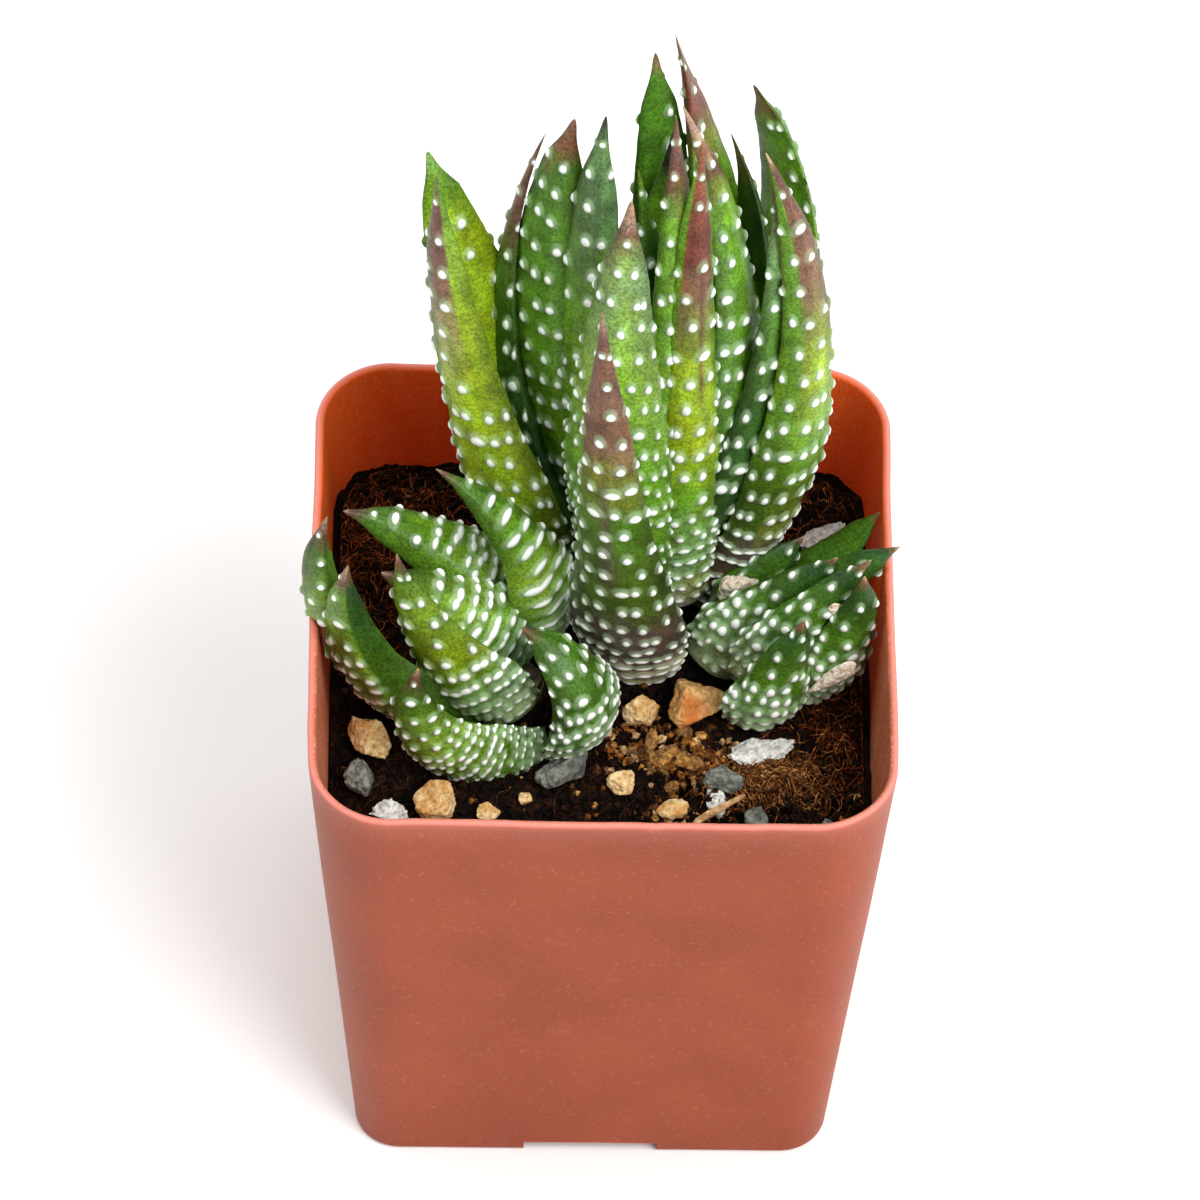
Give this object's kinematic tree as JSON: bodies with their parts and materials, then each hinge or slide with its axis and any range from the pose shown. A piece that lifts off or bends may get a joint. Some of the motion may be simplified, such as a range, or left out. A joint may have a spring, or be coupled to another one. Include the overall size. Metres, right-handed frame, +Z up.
{
  "type": "potted haworthia",
  "caption": "Zebra haworthia with a tall main rosette and two offsets, in a small square tapered nursery pot of potting mix topped with loose pumice.",
  "frame": {"origin": "under the middle of the pot, on the surface that it stands on", "axes": "+Z up, along the plant's height; +X to the right and -Y to the front, each square to a side of the pot"},
  "size_m": [0.0563, 0.055, 0.1107],
  "materials": {
    "pot": "semi-matt terracotta-coloured plastic",
    "potting_mix": "damp dark coir potting mix with rusty fibres",
    "stem": "dry pale tan stem skin",
    "main_leaf": "satin green leaf skin with raised white tubercles in cross bands, brown-purple tips",
    "offset_leaf": "satin dark green leaf skin with raised white tubercles in cross bands",
    "pumice": "dry tan pumice",
    "grit": "rough grey grit",
    "flake": "pale grey-white flake"
  },
  "bodies": {
    "root": {"pot": "pot", "main_stem": "stem", "main_leaf_01": "main_leaf", "main_leaf_02": "main_leaf", "main_leaf_03": "main_leaf", "main_leaf_04": "main_leaf", "main_leaf_05": "main_leaf", "main_leaf_06": "main_leaf", "main_leaf_07": "main_leaf", "main_leaf_08": "main_leaf", "main_leaf_09": "main_leaf", "main_leaf_10": "main_leaf", "main_leaf_11": "main_leaf", "main_leaf_12": "main_leaf", "main_leaf_13": "main_leaf", "main_leaf_14": "main_leaf", "main_leaf_15": "main_leaf", "main_leaf_16": "main_leaf", "main_leaf_17": "main_leaf", "main_leaf_18": "main_leaf", "main_leaf_19": "main_leaf", "main_leaf_20": "main_leaf", "main_leaf_21": "main_leaf", "main_leaf_22": "main_leaf", "left_stem": "stem", "left_leaf_01": "offset_leaf", "left_leaf_02": "offset_leaf", "left_leaf_03": "offset_leaf", "left_leaf_04": "offset_leaf", "left_leaf_05": "offset_leaf", "left_leaf_06": "offset_leaf", "left_leaf_07": "offset_leaf", "left_leaf_08": "offset_leaf", "right_stem": "stem", "right_leaf_01": "offset_leaf", "right_leaf_02": "offset_leaf", "right_leaf_03": "offset_leaf", "right_leaf_04": "offset_leaf", "right_leaf_05": "offset_leaf", "right_leaf_06": "offset_leaf", "right_leaf_07": "offset_leaf", "pumice_01": "pumice", "pumice_02": "pumice", "pumice_03": "pumice", "pumice_04": "pumice", "pumice_05": "pumice", "pumice_06": "pumice", "grit_01": "grit", "grit_02": "grit", "grit_03": "grit", "flake_01": "flake", "flake_02": "flake", "flake_03": "flake", "potting_mix": "potting_mix"}
  },
  "joints": []
}
